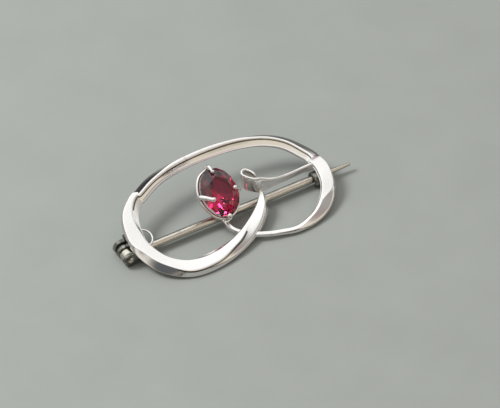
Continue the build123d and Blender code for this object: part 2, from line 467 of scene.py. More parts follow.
def group_tree(
    name: str, inputs: Sequence[tuple[str, str, object]], outputs: Sequence[tuple[str, str]]
) -> Nodes:
    """Starts a node group.

    Args:
        name: the group's name.
        inputs: name, socket type and default of each input.
        outputs: name and socket type of each output.

    Returns:
        Its nodes.
    """
    tree = bpy.data.node_groups.new(name, "ShaderNodeTree")
    for label, kind, value in inputs:
        socket = tree.interface.new_socket(label, in_out="INPUT", socket_type=kind)
        if value is not None:
            socket.default_value = value
    for label, kind in outputs:
        tree.interface.new_socket(label, in_out="OUTPUT", socket_type=kind)
    return Nodes(tree)


@dataclass
class Effects:
    """The surface effects that the finishes share.

    A mark shows where its noise lies between faint and deep. The film shows where its noise is over bare, which the
    cover lowers by as much as reach, and hardness is how fast it thickens there.
    """

    faint: float = 0.42
    deep: float = 0.62
    mark_height: float = 0.12
    wave_scale: float = 420.0
    bare: float = 0.78
    reach: float = 0.6
    hardness: float = 6.0

    def __post_init__(self) -> None:
        """Builds each effect once."""
        self.marks = self._marks()
        self.film = self._film()

    def _marks(self) -> bpy.types.NodeTree:
        """Fine polishing marks and a soft unevenness below them.

        Returns:
            A group with a Height and a Mask.
        """
        nodes = group_tree(
            "polishing_marks",
            [
                ("Coordinates", "NodeSocketVector", None),
                ("Stretch", "NodeSocketVector", (1.0, 1.0, 1.0)),
                ("Fineness", "NodeSocketFloat", 9000.0),
                ("Unevenness", "NodeSocketFloat", 0.5),
            ],
            [("Height", "NodeSocketFloat"), ("Mask", "NodeSocketFloat")],
        )
        given = nodes.add("NodeGroupInput")
        result = nodes.add("NodeGroupOutput")
        drawn = nodes.add("ShaderNodeVectorMath", operation="MULTIPLY")
        nodes.join(given.outputs["Coordinates"], drawn.inputs[0])
        nodes.join(given.outputs["Stretch"], drawn.inputs[1])
        fine = nodes.add("ShaderNodeTexNoise", Detail=3.0, Roughness=0.6)
        nodes.join(drawn.outputs[0], fine.inputs["Vector"])
        nodes.join(given.outputs["Fineness"], fine.inputs["Scale"])
        wide = nodes.add("ShaderNodeTexNoise", Scale=self.wave_scale, Detail=2.0)
        nodes.join(given.outputs["Coordinates"], wide.inputs["Vector"])
        lines = nodes.spread(fine.outputs[0], self.faint, self.deep)
        waves = nodes.maths("MULTIPLY", wide.outputs[0], given.outputs["Unevenness"])
        height = nodes.maths("ADD", nodes.maths("MULTIPLY", lines, self.mark_height), waves)
        nodes.join(height, result.inputs["Height"])
        nodes.join(lines, result.inputs["Mask"])
        return nodes.tree

    def _film(self) -> bpy.types.NodeTree:
        """A thin dull film that lies in patches.

        Returns:
            A group with a Mask, 1 where the film is thick.
        """
        nodes = group_tree(
            "dull_film",
            [
                ("Coordinates", "NodeSocketVector", None),
                ("Size", "NodeSocketFloat", 700.0),
                ("Cover", "NodeSocketFloat", 0.3),
            ],
            [("Mask", "NodeSocketFloat")],
        )
        given = nodes.add("NodeGroupInput")
        result = nodes.add("NodeGroupOutput")
        patches = nodes.add("ShaderNodeTexNoise", Detail=5.0, Roughness=0.65)
        nodes.join(given.outputs["Coordinates"], patches.inputs["Vector"])
        nodes.join(given.outputs["Size"], patches.inputs["Scale"])
        edge = nodes.maths("SUBTRACT", self.bare, nodes.maths("MULTIPLY", given.outputs["Cover"], self.reach))
        shown = nodes.maths("MULTIPLY", nodes.maths("SUBTRACT", patches.outputs[0], edge), self.hardness)
        nodes.join(nodes.spread(shown, 0.0, 1.0), result.inputs["Mask"])
        return nodes.tree


@dataclass(frozen=True)
class MetalFinish:
    """A polished or dulled metal with polishing marks."""

    name: str
    clean: Colour
    dull: Colour
    cover: float
    film_size: float = 700.0
    smooth: float = 0.08
    rough: float = 0.4
    stretch: Triple = (1.0, 1.0, 1.0)
    fineness: float = 9000.0
    relief: float = 0.02
    mark_roughness: float = 0.05

    def make(self, effects: Effects) -> bpy.types.Material:
        """Builds the material.

        Args:
            effects: the shared effects.

        Returns:
            The material.
        """
        material, nodes = new_material(self.name)
        place = nodes.add("ShaderNodeTexCoord").outputs["Object"]
        marks = nodes.add("ShaderNodeGroup", node_tree=effects.marks, Stretch=self.stretch, Fineness=self.fineness)
        film = nodes.add("ShaderNodeGroup", node_tree=effects.film, Size=self.film_size, Cover=self.cover)
        for effect in (marks, film):
            nodes.join(place, effect.inputs["Coordinates"])
        colour = nodes.mix(self.clean, self.dull, film.outputs["Mask"])
        base = nodes.spread(film.outputs["Mask"], 0.0, 1.0, self.smooth, self.rough)
        scuffed = nodes.maths("MULTIPLY", marks.outputs["Mask"], self.mark_roughness)
        bump = nodes.add("ShaderNodeBump", Strength=1.0, Distance=self.relief * MM)
        nodes.join(marks.outputs["Height"], bump.inputs["Height"])
        shader = nodes.add("ShaderNodeBsdfPrincipled", Metallic=1.0)
        nodes.join(colour, shader.inputs["Base Color"])
        nodes.join(nodes.maths("ADD", base, scuffed), shader.inputs["Roughness"])
        nodes.join(bump.outputs[0], shader.inputs["Normal"])
        nodes.show(shader)
        return material


@dataclass(frozen=True)
class GarnetFinish:
    """Clear deep red garnet with faint cloudy growth, which shows where its noise lies between thin and thick."""

    name: str = "garnet_stone"
    heart: Colour = (0.37, 0.009, 0.04)
    cloud: Colour = (0.43, 0.018, 0.07)
    growth_scale: float = 260.0
    thin: float = 0.35
    thick: float = 0.65
    refraction: float = 1.76
    roughness: float = 0.015
    gloss: float = 0.3

    def make(self) -> bpy.types.Material:
        """Builds the material.

        Returns:
            The material.
        """
        material, nodes = new_material(self.name)
        growth = nodes.add("ShaderNodeTexNoise", Scale=self.growth_scale, Detail=3.0)
        nodes.join(nodes.add("ShaderNodeTexCoord").outputs["Object"], growth.inputs["Vector"])
        colour = nodes.mix(self.heart, self.cloud, nodes.spread(growth.outputs[0], self.thin, self.thick))
        shader = nodes.add("ShaderNodeBsdfPrincipled", Metallic=0.0, Roughness=self.roughness, IOR=self.refraction)
        shader.inputs["Transmission Weight"].default_value = 1.0
        shader.inputs["Specular IOR Level"].default_value = self.gloss
        nodes.join(colour, shader.inputs["Base Color"])
        nodes.show(shader)
        return material


class Finishes:
    """Every finish of the brooch."""

    def __init__(self) -> None:
        """Builds the effects and the materials."""
        effects = Effects()
        silver = (0.95, 0.935, 0.91)
        self.silver = MetalFinish("swirl_silver", silver, (0.62, 0.58, 0.53), cover=0.22).make(effects)
        # The groove finish is painted shade: its dark colour stands in for the dark reflection in the band's fine
        # grooves.
        self.groove = MetalFinish(
            "groove_painted_shade", (0.2, 0.185, 0.15), (0.1, 0.09, 0.07), cover=0.4, rough=0.5
        ).make(effects)
        self.leaf = MetalFinish("leaf_silver", silver, (0.36, 0.34, 0.32), cover=0.3, smooth=0.1).make(effects)
        self.wire = MetalFinish("setting_silver", silver, (0.7, 0.66, 0.62), cover=0.12).make(effects)
        # The hinge finish, worn by the ears and the catch, is dark grey: partly tarnish, partly painted shade for
        # the shade under the band.
        self.hinge = MetalFinish(
            "hinge_tarnish_and_painted_shade",
            (0.46, 0.46, 0.42),
            (0.15, 0.155, 0.125),
            cover=0.66,
            film_size=1500.0,
            smooth=0.25,
            rough=0.5,
        ).make(effects)
        self.pin = MetalFinish(
            "pin_alloy",
            (0.70, 0.68, 0.59),
            (0.36, 0.35, 0.28),
            cover=0.35,
            smooth=0.2,
            rough=0.42,
            stretch=(0.12, 1.0, 1.0),
            relief=0.03,
        ).make(effects)
        self.garnet = GarnetFinish().make()


# The brooch's parts


@dataclass
class Assembly:
    """A part of the brooch: where it goes, and what it is dressed in."""

    layout: Layout
    finishes: Finishes

    def dress(
        self,
        piece: bpy.types.Object,
        material: bpy.types.Material,
        node: str,
        body: Body = Body.BROOCH,
        slot: Slot = Slot.SILVER,
    ) -> None:
        """Gives a piece its material and body, and hides the CAD node that it stands for.

        Args:
            piece: the finished piece.
            material: its material, unless it has one.
            node: the CAD node that it stands for.
            body: the body that it rides on.
            slot: the record's slot that its finish comes from; not used.
        """
        if not piece.data.materials:
            piece.data.materials.append(material)
        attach(piece, body.value)
        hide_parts(node)
        log.info("%s: %d faces", piece.name, len(piece.data.polygons))


@dataclass(frozen=True)
class BandRow:
    """A cross-section of the band, with its top between an inner and an outer ridge.

    along and across are shares of the swirl's length and width. inner and outer are the ridges' places, from 0 at
    the inner edge to 1 at the outer one. step and drop are the small falls beside the ridges, lip is the bright
    inner rim, under the slant below the outer edge, and knee and lift bend the outer slope. Widths are shares of
    the band's width, heights of its height and of its edge.
    """

    along: float
    across: float
    width: float
    inner: float
    outer: float
    rise_in: float
    rise_out: float
    edge_in: float
    edge_out: float
    step: float = 0.0
    drop: float = 0.0
    lip: float = 0.04
    under: float = 0.1
    knee: float = 0.5
    lift: float = 0.03


SWIRL_ROWS = (
    BandRow(0.667, 0.464, 0.30, 0.12, 0.20, 0.36, 0.40, 0.45, 0.35, knee=0.45, lift=0.19),
    BandRow(0.6295, 0.341, 0.72, 0.08, 0.14, 0.44, 0.47, 0.60, 0.30, under=0.15, knee=0.64, lift=0.44),
    BandRow(0.548, 0.219, 0.94, 0.08, 0.22, 0.62, 0.67, 0.95, 0.62, under=0.15, knee=0.78, lift=0.31),
    BandRow(0.438, 0.120, 0.93, 0.08, 0.50, 0.76, 0.84, 1.25, 0.70, drop=0.05, under=0.2, knee=0.82, lift=0.17),
    BandRow(0.317, 0.074, 1.04, 0.20, 0.76, 0.82, 0.90, 1.45, 0.55, drop=0.05, under=0.3, knee=0.60, lift=0.08),
    BandRow(0.197, 0.079, 0.98, 0.06, 0.80, 0.84, 0.92, 1.50, 0.45, drop=0.04, under=0.3, lift=0.04),
    BandRow(0.104, 0.178, 1.00, 0.06, 0.62, 0.84, 0.92, 1.50, 0.45, under=0.3),
    BandRow(0.052, 0.329, 1.01, 0.06, 0.66, 0.84, 0.92, 1.45, 0.60, under=0.2),
    BandRow(0.0385, 0.485, 1.04, 0.12, 0.93, 0.86, 0.92, 1.30, 1.10),
    BandRow(0.067, 0.676, 1.00, 0.40, 0.94, 0.92, 0.94, 1.00, 1.15),
    BandRow(0.124, 0.786, 0.88, 0.56, 0.94, 0.96, 0.96, 0.95, 1.15, step=0.05),
    BandRow(0.149, 0.818, 0.81, 0.56, 0.93, 0.98, 0.96, 0.95, 1.10, step=0.07),
    BandRow(0.1627, 0.827, 0.86, 0.42, 0.56, 1.00, 1.00, 1.15, 0.45, step=0.08, lip=0.13),
    BandRow(0.2632, 0.9082, 0.86, 0.40, 0.56, 1.00, 1.00, 1.25, 0.45, step=0.08, lip=0.14, under=0.2),
    BandRow(0.398, 0.948, 0.76, 0.50, 0.78, 1.00, 1.00, 0.90, 0.65, step=0.08, lip=0.14, under=0.2),
    BandRow(0.543, 0.951, 0.70, 0.56, 0.84, 1.00, 1.00, 0.80, 0.80, step=0.08, lip=0.12, under=0.2),
    BandRow(0.672, 0.931, 0.70, 0.57, 0.78, 1.00, 1.00, 0.95, 0.70, step=0.08, lip=0.14, under=0.25),
    BandRow(0.7903, 0.8785, 0.79, 0.50, 0.62, 1.00, 1.00, 1.15, 0.60, step=0.07, lip=0.12, under=0.3),
    BandRow(0.8793, 0.7803, 0.85, 0.44, 0.54, 0.98, 0.98, 1.30, 0.55, step=0.06, lip=0.08, under=0.3),
    BandRow(0.9428, 0.6242, 0.90, 0.39, 0.49, 0.93, 0.93, 1.30, 0.55, step=0.05, lip=0.06, under=0.3),
    BandRow(0.9578, 0.5627, 0.90, 0.37, 0.48, 0.92, 0.92, 1.25, 0.60, step=0.03),
    BandRow(0.9605, 0.530, 0.85, 0.12, 0.88, 0.80, 0.84, 1.15, 1.10),
    BandRow(0.969, 0.448, 0.87, 0.10, 0.90, 0.80, 0.82, 1.15, 1.10),
    BandRow(0.951, 0.299, 0.86, 0.10, 0.84, 0.82, 0.78, 1.10, 1.00),
    BandRow(0.892, 0.161, 0.82, 0.10, 0.26, 0.78, 0.79, 1.10, 0.70, under=0.2, knee=0.84, lift=0.12),
    BandRow(0.811, 0.079, 0.60, 0.12, 0.30, 0.68, 0.71, 0.90, 0.55, under=0.15, knee=0.76, lift=0.09),
    BandRow(0.716, 0.055, 0.44, 0.28, 0.68, 0.60, 0.62, 0.65, 0.60),
    BandRow(0.639, 0.084, 0.37, 0.26, 0.74, 0.55, 0.55, 0.60, 0.60),
    BandRow(0.603, 0.101, 0.35, 0.24, 0.76, 0.53, 0.53, 0.60, 0.60),
    BandRow(0.562, 0.128, 0.34, 0.24, 0.76, 0.52, 0.52, 0.60, 0.60),
)

# The wire end begins inside the last stretch of the band.
WIRE_ROWS = (
    *SWIRL_ROWS[-2:],
    BandRow(0.512, 0.172, 0.32, 0.24, 0.76, 0.51, 0.51, 0.58, 0.58),
    BandRow(0.460, 0.255, 0.30, 0.24, 0.76, 0.50, 0.50, 0.57, 0.57),
    BandRow(0.443, 0.369, 0.28, 0.24, 0.76, 0.50, 0.50, 0.56, 0.56),
    BandRow(0.452, 0.500, 0.27, 0.24, 0.76, 0.50, 0.50, 0.55, 0.55),
)


@dataclass
class SwirlBand(Assembly):
    """The swirl: a flat-backed band whose top is narrow on the far arch and wide at the hinge end and the lobe.

    inner_groove and outer_groove are the outline's points on the walls of the two grooves, and least_fall is the
    smallest fall beside a ridge that counts as one.
    """

    length: float = 35.8
    width: float = 20.2
    hinge_to_swirl: float = 0.55
    pin_to_near_edge: float = 8.75
    band_width: float = 2.8
    band_height: float = 1.25
    band_edge: float = 0.6
    back_above_pin: float = 1.1
    softness: float = 0.05
    ridge_softness: float = 0.035
    groove: float = 0.2
    inner_groove: tuple[int, int] = (12, 13)
    outer_groove: tuple[int, int] = (8, 9)
    least_fall: float = 0.01
    steps: int = 5
    end_share: float = 0.03

    def between(self, rows: Sequence[BandRow]) -> list[BandRow]:
        """Puts rows between the given ones, and one close to each end.

        Their places and widths follow a smooth curve through the given rows, and the rest eases from row to row.

        Args:
            rows: the given rows.

        Returns:
            The rows with the new ones between them.
        """
        made = []
        for i in range(len(rows) - 1):
            four = [rows[max(i - 1, 0)], rows[i], rows[i + 1], rows[min(i + 2, len(rows) - 1)]]
            shares = [step / self.steps for step in range(self.steps)]
            if i == 0:
                shares.insert(1, self.end_share)
            if i == len(rows) - 2:
                shares.append(1 - self.end_share)
            for t in shares:
                values: dict[str, float] = {}
                for item in fields(BandRow):
                    a, b, c, d = (getattr(row, item.name) for row in four)
                    if item.name in ("along", "across", "width"):
                        curve = (c - a) / 2, a - 2.5 * b + 2 * c - d / 2, 1.5 * (b - c) + (d - a) / 2
                        values[item.name] = b + curve[0] * t + curve[1] * t**2 + curve[2] * t**3
                    else:
                        values[item.name] = b + (c - b) * t**2 * (3 - 2 * t)
                made.append(BandRow(**values))
        made.append(rows[-1])
        return made

    def outline(self, row: BandRow) -> list[tuple[float, float]]:
        """Draws a cross-section, along its back and over its top to the inner edge.

        Args:
            row: the cross-section's row.

        Returns:
            Its points: outwards from the band's middle, and up from its back.
        """
        half = row.width * self.band_width / 2
        edge_in, edge_out = row.edge_in * self.band_edge, row.edge_out * self.band_edge
        inner, outer = (2 * row.inner - 1) * half, (2 * row.outer - 1) * half
        high_in, high_out = row.rise_in * self.band_height, row.rise_out * self.band_height
        low_in, low_out = high_in - row.step * self.band_height, high_out - row.drop * self.band_height
        soft = min(self.softness, 0.15 * half, 0.2 * edge_out)
        fine = min(self.ridge_softness, 0.05 * half)
        under = min(row.under, edge_out - 2 * soft, 0.35 * half)
        lip = min(-half + max(2 * row.lip * half, 1.6 * soft), inner - 4 * fine)
        fall = (low_in - edge_in) / max(inner - fine - lip, 0.05)
        knee = outer + (half - outer) * row.knee
        knee_high = low_out + (edge_out - low_out) * row.knee + row.lift * self.band_height
        ease = (low_out - knee_high) / max(knee - outer, 0.05)
        slot_in = fine + (self.groove if row.step > 0 else 1.4 * fine)
        slot_out = fine + (self.groove if row.drop > 0 else 1.4 * fine)
        # The points stand in pairs beside each corner, so that it comes out soft once the band is divided.
        return [
            (-half + max(soft, under), 0.0),
            (0.0, 0.0),
            (half - max(soft, under), 0.0),
            (half - 0.3 * soft, max(soft, under)),
            (half, edge_out - soft),
            (half - 0.6 * soft, edge_out),
            (knee + 0.15 * (half - knee), knee_high + 0.15 * (edge_out - knee_high)),
            (knee - 0.1 * (knee - outer), knee_high + 0.1 * (low_out - knee_high)),
            (outer + slot_out, low_out - (slot_out - fine) * ease),
            (outer + fine, low_out),
            (outer - fine, high_out),
            (inner + fine, high_in),
            (inner - fine, low_in + 0.1 * (high_in - low_in)),
            (inner - slot_in, low_in - (slot_in - fine) * fall),
            (lip + 0.3 * (inner - lip), edge_in + 0.27 * (low_in - edge_in)),
            (lip, edge_in),
            (-half + soft, edge_in - 0.4 * soft),
            (-half, edge_in - soft),
            (-half + 0.3 * soft, max(soft, under)),
        ]

    def rings(self, rows: Sequence[BandRow]) -> list[list[Vector]]:
        """Draws the band's rings along rows.

        Args:
            rows: the band's rows.

        Returns:
            A ring of points for each row between and at the given ones.
        """
        dense = self.between(rows)
        centres = [
            Vector(
                (
                    self.hinge_to_swirl + row.along * self.length,
                    row.across * self.width - self.pin_to_near_edge,
                    self.back_above_pin,
                )
            )
            for row in dense
        ]
        rings = []
        for i, row in enumerate(dense):
            heading = (centres[min(i + 1, len(centres) - 1)] - centres[max(i - 1, 0)]).normalized()
            outward = Vector((0, 0, 1)).cross(heading)
            rings.append(
                [
                    self.layout.on_swirl(centres[i] + outward * across + Vector((0, 0, up)))
                    for across, up in self.outline(row)
                ]
            )
        return rings

    def build(self) -> None:
        """Makes the band and its thin wire end."""
        for name, rows in (("swirl_band", SWIRL_ROWS), ("swirl_wire_end", WIRE_ROWS)):
            piece = Skin(name, self.rings(rows)).build()
            self.paint_groove_shade(piece, self.between(rows))
            finish_skin(piece, levels=2)
            self.dress(piece, self.finishes.silver, "silver_frame")

    def paint_groove_shade(self, piece: bpy.types.Object, rows: Sequence[BandRow]) -> None:
        """Gives the two fine grooves of the band a dark material: painted shade that stands in for the dark
        reflection in them.

        Args:
            piece: the band, before it is divided.
            rows: the row of each of its rings.
        """
        count = len(self.outline(rows[0]))
        for finish in (self.finishes.silver, self.finishes.groove):
            piece.data.materials.append(finish)
        grooves = (
            (self.inner_groove, [row.step for row in rows]),
            (self.outer_groove, [row.drop for row in rows]),
        )
        pick(piece)
        bpy.ops.object.mode_set(mode="EDIT")
        bpy.ops.mesh.select_mode(type="VERT")
        for places, falls in grooves:
            deep = [i for i, fall in enumerate(falls) if fall > self.least_fall]
            if deep:
                select_vertices(piece, [i * count + place for i in deep for place in places])
                # The groove walls get the dark finish, which is painted shade.
                piece.active_material_index = 1
                bpy.ops.object.material_slot_assign()
        bpy.ops.object.mode_set(mode="OBJECT")


@dataclass(frozen=True)
class LeafRow:
    """A place on the leaf: shares of its length and width."""

    along: float
    off: float
    width: float


@dataclass(frozen=True)
class RollRow:
    """An arc of the leaf's roll: share of the scroll's size, and degrees to the right."""

    radius: float
    turn: float


@dataclass
class Leaf(Assembly):
    """The leaf: a leaning strip that widens from its root and rolls up into an open scroll."""

    length: float = 9.7
    width: float = 2.7
    thickness: float = 0.42
    lean: float = 65.0
    root_x: float = 34.4
    near_y: float = 0.9
    foot: float = 1.22
    scroll: float = 2.5
    cupping: float = 0.05
    softness: float = 0.09
    rows: tuple[LeafRow, ...] = (
        LeafRow(0.00, 0.04, 0.44),
        LeafRow(0.12, 0.09, 0.40),
        LeafRow(0.26, 0.09, 0.37),
        LeafRow(0.47, 0.03, 0.40),
        LeafRow(0.66, 0.03, 0.43),
        LeafRow(0.80, 0.01, 0.58),
        LeafRow(0.91, -0.02, 0.80),
        LeafRow(1.00, -0.03, 1.00),
    )
    roll: tuple[RollRow, ...] = (RollRow(0.88, 40.0), RollRow(2.00, 15.0), RollRow(0.25, 165.0), RollRow(0.96, 45.0))
    roll_step: float = 12.0

    def spine(self) -> list[tuple[Vector, Vector, float]]:
        """Lays out the strip from its root to the end of its roll.

        Returns:
            Foot, heading and width at each place, in order.
        """
        feet = [
            Vector((self.root_x - row.along * self.length, self.near_y + row.off * self.width, self.foot))
            for row in self.rows
        ]
        places = []
        for i, row in enumerate(self.rows[:-1]):
            heading = (feet[i + 1] - feet[max(i - 1, 0)]).normalized()
            places.append((feet[i], heading, row.width * self.width))
        point, heading = feet[-1].copy(), Vector((-1.0, 0.0, 0.0))
        places.append((point.copy(), heading.copy(), self.width))
        for arc in self.roll:
            radius = arc.radius * self.scroll
            centre = point + Vector((heading.y, -heading.x, 0)) * radius
            count = max(2, round(arc.turn / self.roll_step))
            for _ in range(count):
                turn = Matrix.Rotation(-math.radians(arc.turn / count), 3, "Z")
                point = centre + turn @ (point - centre)
                heading = turn @ heading
                places.append((point.copy(), heading.copy(), self.width))
        return places

    def build(self) -> None:
        """Makes the leaf: a ring of ten points, hollow on both sides, at each place of its spine."""
        lean = math.radians(self.lean)
        rise = Vector((0, math.cos(lean), math.sin(lean)))
        half, soft = self.thickness / 2, self.softness
        rings = []
        for foot, heading, width in self.spine():
            side = Vector((0, 0, 1)).cross(heading)
            outline = [
                (-half + soft, 0.0),
                (half - soft, 0.0),
                (half, soft),
                (half - self.cupping, width / 2),
                (half, width - soft),
                (half - soft, width),
                (-half + soft, width),
                (-half, width - soft),
                (-half + self.cupping, width / 2),
                (-half, soft),
            ]
            rings.append([self.layout.on_swirl(foot + side * u + rise * v) for u, v in outline])
        piece = Skin("leaf_and_scroll", rings).build()
        finish_skin(piece, levels=2)
        self.dress(piece, self.finishes.leaf, "silver_frame")


@dataclass(frozen=True)
class ClawRow:
    """A claw: degrees round the oval, length over the crown, degrees that this length is bent aside, and its wire.

    waist is how thin the wire is before its end, as a share.
    """

    name: str
    angle: float
    over: float
    aim: float
    wire: float = 0.64
    waist: float = 1.0


@dataclass
class ClawSetting(Assembly):
    """Four claws on a base oval, held round the stone by a gallery wire."""

    place: Vector = field(default_factory=lambda: Vector((17.2, 3.1, 1.1)))
    lean: float = 18.0
    stone_length: float = 8.0
    stone_width: float = 6.0
    crown: float = 1.0
    girdle: float = 0.24
    table_share: float = 0.6
    stone_gap: float = 0.05
    girdle_above_base: float = 3.3
    bead: float = 0.02
    bead_length: float = 0.1
    bend: float = 0.1
    waist_places: tuple[float, float, float] = (0.3, 0.5, 0.7)
    gallery_wire: float = 0.58
    gallery_below_girdle: float = 1.25
    gallery_outset: float = 0.1
    end_share: float = 0.84
    base_wire: float = 0.76
    base_share: float = 0.5
    base_lift: float = 0.35
    claws: tuple[ClawRow, ...] = (
        ClawRow("right", -8.0, 0.75, 0.0, wire=0.74),
        ClawRow("far", 91.0, 0.65, 0.0, waist=0.72),
        ClawRow("left", 176.0, 1.35, -39.0, wire=0.84, waist=0.8),
        ClawRow("near", 263.0, -0.3, 0.0, wire=0.84),
    )

    def at(self, point: Vector) -> Vector:
        """Turns a point of the setting into the frame."""
        leaning = Matrix.Rotation(math.radians(self.lean), 3, "X")
        return self.layout.on_swirl(self.place + leaning @ point)

    def oval(self, x_radius: float, y_radius: float, height: float, around: int = 48) -> list[Vector]:
        """Draws an oval of four arcs, flat in the stone's plane.

        Args:
            x_radius: half its width.
            y_radius: half its length.
            height: its height over the base.
            around: how many points.

        Returns:
            The points.
        """
        end_radius = self.end_share * x_radius
        rise = y_radius - end_radius
        side_radius = (x_radius**2 + rise**2 - end_radius**2) / (2 * (x_radius - end_radius))
        half = math.atan2(rise, side_radius - x_radius)
        lengths = [side_radius * 2 * half, end_radius * (math.pi - 2 * half)] * 2
        arcs = [
            (x_radius - side_radius, 0.0, side_radius, -half, 2 * half),
            (0.0, rise, end_radius, half, math.pi - 2 * half),
            (side_radius - x_radius, 0.0, side_radius, math.pi - half, 2 * half),
            (0.0, -rise, end_radius, math.pi + half, math.pi - 2 * half),
        ]
        points = []
        for (x, y, radius, start, sweep), length in zip(arcs, lengths):
            count = max(4, round(around * length / sum(lengths)))
            for k in range(count):
                angle = start + sweep * k / count
                points.append(Vector((x + radius * math.cos(angle), y + radius * math.sin(angle), height)))
        return points

    def wire_oval(
        self, name: str, x_radius: float, y_radius: float, height: float, wire: float
    ) -> bpy.types.Object:
        """Makes a closed oval of round wire.

        Args:
            name: the piece's name.
            x_radius: half the oval's width.
            y_radius: half its length.
            height: its height over the base.
            wire: the wire's thickness.

        Returns:
            The piece.
        """
        path = self.oval(x_radius, y_radius, height)
        rings = []
        for i, point in enumerate(path):
            tangent = (path[(i + 1) % len(path)] - path[i - 1]).normalized()
            outward = tangent.cross(Vector((0, 0, 1)))
            ring = []
            for k in range(WIRE_SIDES):
                a = 2 * math.pi * k / WIRE_SIDES
                ring.append(self.at(point + (outward * math.cos(a) + Vector((0, 0, math.sin(a)))) * wire / 2))
            rings.append(ring)
        return finish_skin(Skin(name, rings, closed=True).build())

    def claw(self, row: ClawRow) -> bpy.types.Object:
        """Makes one claw: up from the base, out to the gallery, past the girdle and over the crown.

        Args:
            row: the claw's row.

        Returns:
            The piece.
        """
        angle, aim = math.radians(row.angle), math.radians(row.aim)
        x_share, y_share = math.cos(angle), math.sin(angle)
        inward = Matrix.Rotation(aim, 3, "Z") @ Vector((-x_share, -y_share, 0))
        wire = row.wire / 2
        outset = wire + self.stone_gap

        def spot(grow: float, share: float, height: float) -> Vector:
            """Places a point in the claw's plane.

            Args:
                grow: how far out it lies from an oval.
                share: that oval's size, as a share of the stone's.
                height: its height over the base.

            Returns:
                The point, in the setting.
            """
            x = x_share * (share * self.stone_width / 2 + grow)
            y = y_share * (share * self.stone_length / 2 + grow)
            return Vector((x, y, height))

        stone_radius = math.hypot(x_share * self.stone_width / 2, y_share * self.stone_length / 2)
        slope = self.crown / ((1 - self.table_share) * stone_radius)
        over_crown = self.girdle / 2 + outset * math.hypot(1, slope)
        corner = spot(outset, 1, self.girdle_above_base + over_crown - slope * outset)
        over = inward + Vector((0, 0, slope * math.cos(aim)))
        corners = [
            spot(0, self.base_share, self.base_lift),
            spot(outset, 1, self.girdle_above_base - self.gallery_below_girdle),
            corner,
            corner + over * (outset + row.over),
        ]
        path = round_corners(corners, wire + self.bend)
        radii = [wire] * len(path)
        if row.waist < 1:
            start, end = path[-2], path[-1]
            path[-1:] = [start.lerp(end, share) for share in self.waist_places] + [end]
            shoulder = wire * (1 + row.waist) / 2
            radii += [shoulder, wire * row.waist, shoulder]
        onward = (path[-1] - path[-2]).normalized()
        path.append(path[-1] + onward * self.bead_length - Vector((0, 0, self.bead)))
        radii.append(wire + self.bead)
        round_tip(path, radii)
        side = Vector((-y_share, x_share, 0))
        rings = [[self.at(point) for point in ring] for ring in tube_rings(path, radii, side)]
        return finish_skin(Skin(f"claw_{row.name}", rings).build())

    def build(self) -> None:
        """Makes the two ovals and the claws."""
        base = self.wire_oval(
            "setting_base",
            self.base_share * self.stone_width / 2,
            self.base_share * self.stone_length / 2,
            self.base_lift,
            self.base_wire,
        )
        gallery = self.wire_oval(
            "gallery_wire",
            self.stone_width / 2 + self.gallery_outset,
            self.stone_length / 2 + self.gallery_outset,
            self.girdle_above_base - self.gallery_below_girdle,
            self.gallery_wire,
        )
        for piece in [base, gallery] + [self.claw(row) for row in self.claws]:
            self.dress(piece, self.finishes.wire, "silver_frame")


@dataclass
class Hinge(Assembly):
    """Three round ears under the band and the rivet through them.

    Each span is where an ear starts and ends along the rivet, and how high its stalk rises. The dome is the rivet's
    head: depth from its top, and radius there.
    """

    reach: float = 1.2218
    hinge_to_swirl: float = 0.55
    ear_reach: float = 2.7
    low: float = -0.7
    spans: tuple[tuple[float, float, float], ...] = ((-1.32, -0.72, 1.164), (0.72, 1.42, 1.729), (1.92, 2.62, 2.053))
    disc_steps: int = 30
    bevel: float = 0.09
    rivet: float = 0.7
    rivet_sides: int = 24
    seat_gap: float = 0.03
    tuck: float = 0.001
    head_height: float = 0.22
    dome: tuple[tuple[float, float], ...] = (
        (0.0, 0.06),
        (0.02, 0.24),
        (0.06, 0.37),
        (0.12, 0.48),
        (0.19, 0.55),
        (0.22, 0.575),
    )

    def ear_outline(self, top: float) -> list[tuple[float, float]]:
        """Draws an ear from the side: a disc and the stalk that rises to the band.

        Args:
            top: how high the stalk rises.

        Returns:
            The outline's points.
        """
        start = math.acos(self.hinge_to_swirl / self.reach)
        end = 2 * math.pi - math.asin(-self.low / self.reach)
        points = []
        for k in range(self.disc_steps + 1):
            angle = start + (end - start) * k / self.disc_steps
            points.append((self.reach * math.cos(angle), self.reach * math.sin(angle)))
        return points + [(self.ear_reach, self.low), (self.ear_reach, top), (self.hinge_to_swirl, top)]

    def build(self) -> None:
        """Makes the ears and the rivet."""
        for (low, high, top), name in zip(self.spans, ("ear_near", "ear_middle", "ear_outer")):
            outline = self.ear_outline(top)
            rings = [[self.layout.on_pin(Vector((x, y, z))) for x, z in outline] for y in (low, high)]
            piece = finish_skin(Skin(name, rings).build(), edges=Edges.BEVELLED, bevel=self.bevel)
            # The ears' dark grey finish is partly painted shade.
            self.dress(piece, self.finishes.hinge, "silver_frame")
        near, far = self.spans[0][0] - self.seat_gap, self.spans[-1][1] + self.seat_gap
        stations = [(near - self.head_height + depth, radius) for depth, radius in self.dome]
        stations += [(near + self.tuck, self.rivet / 2), (far - self.tuck, self.rivet / 2)]
        stations += [(far + self.head_height - depth, radius) for depth, radius in reversed(self.dome)]
        path = [Vector((0, y, 0)) for y, _ in stations]
        radii = [radius for _, radius in stations]
        rings = [
            [self.layout.on_pin(point) for point in ring]
            for ring in tube_rings(path, radii, Vector((0, 0, 1)), around=self.rivet_sides)
        ]
        piece = finish_skin(Skin("hinge_rivet_dressed", rings).build(), edges=Edges.TURNED)
        self.dress(piece, self.finishes.pin, "hinge_rivet", slot=Slot.PIN)


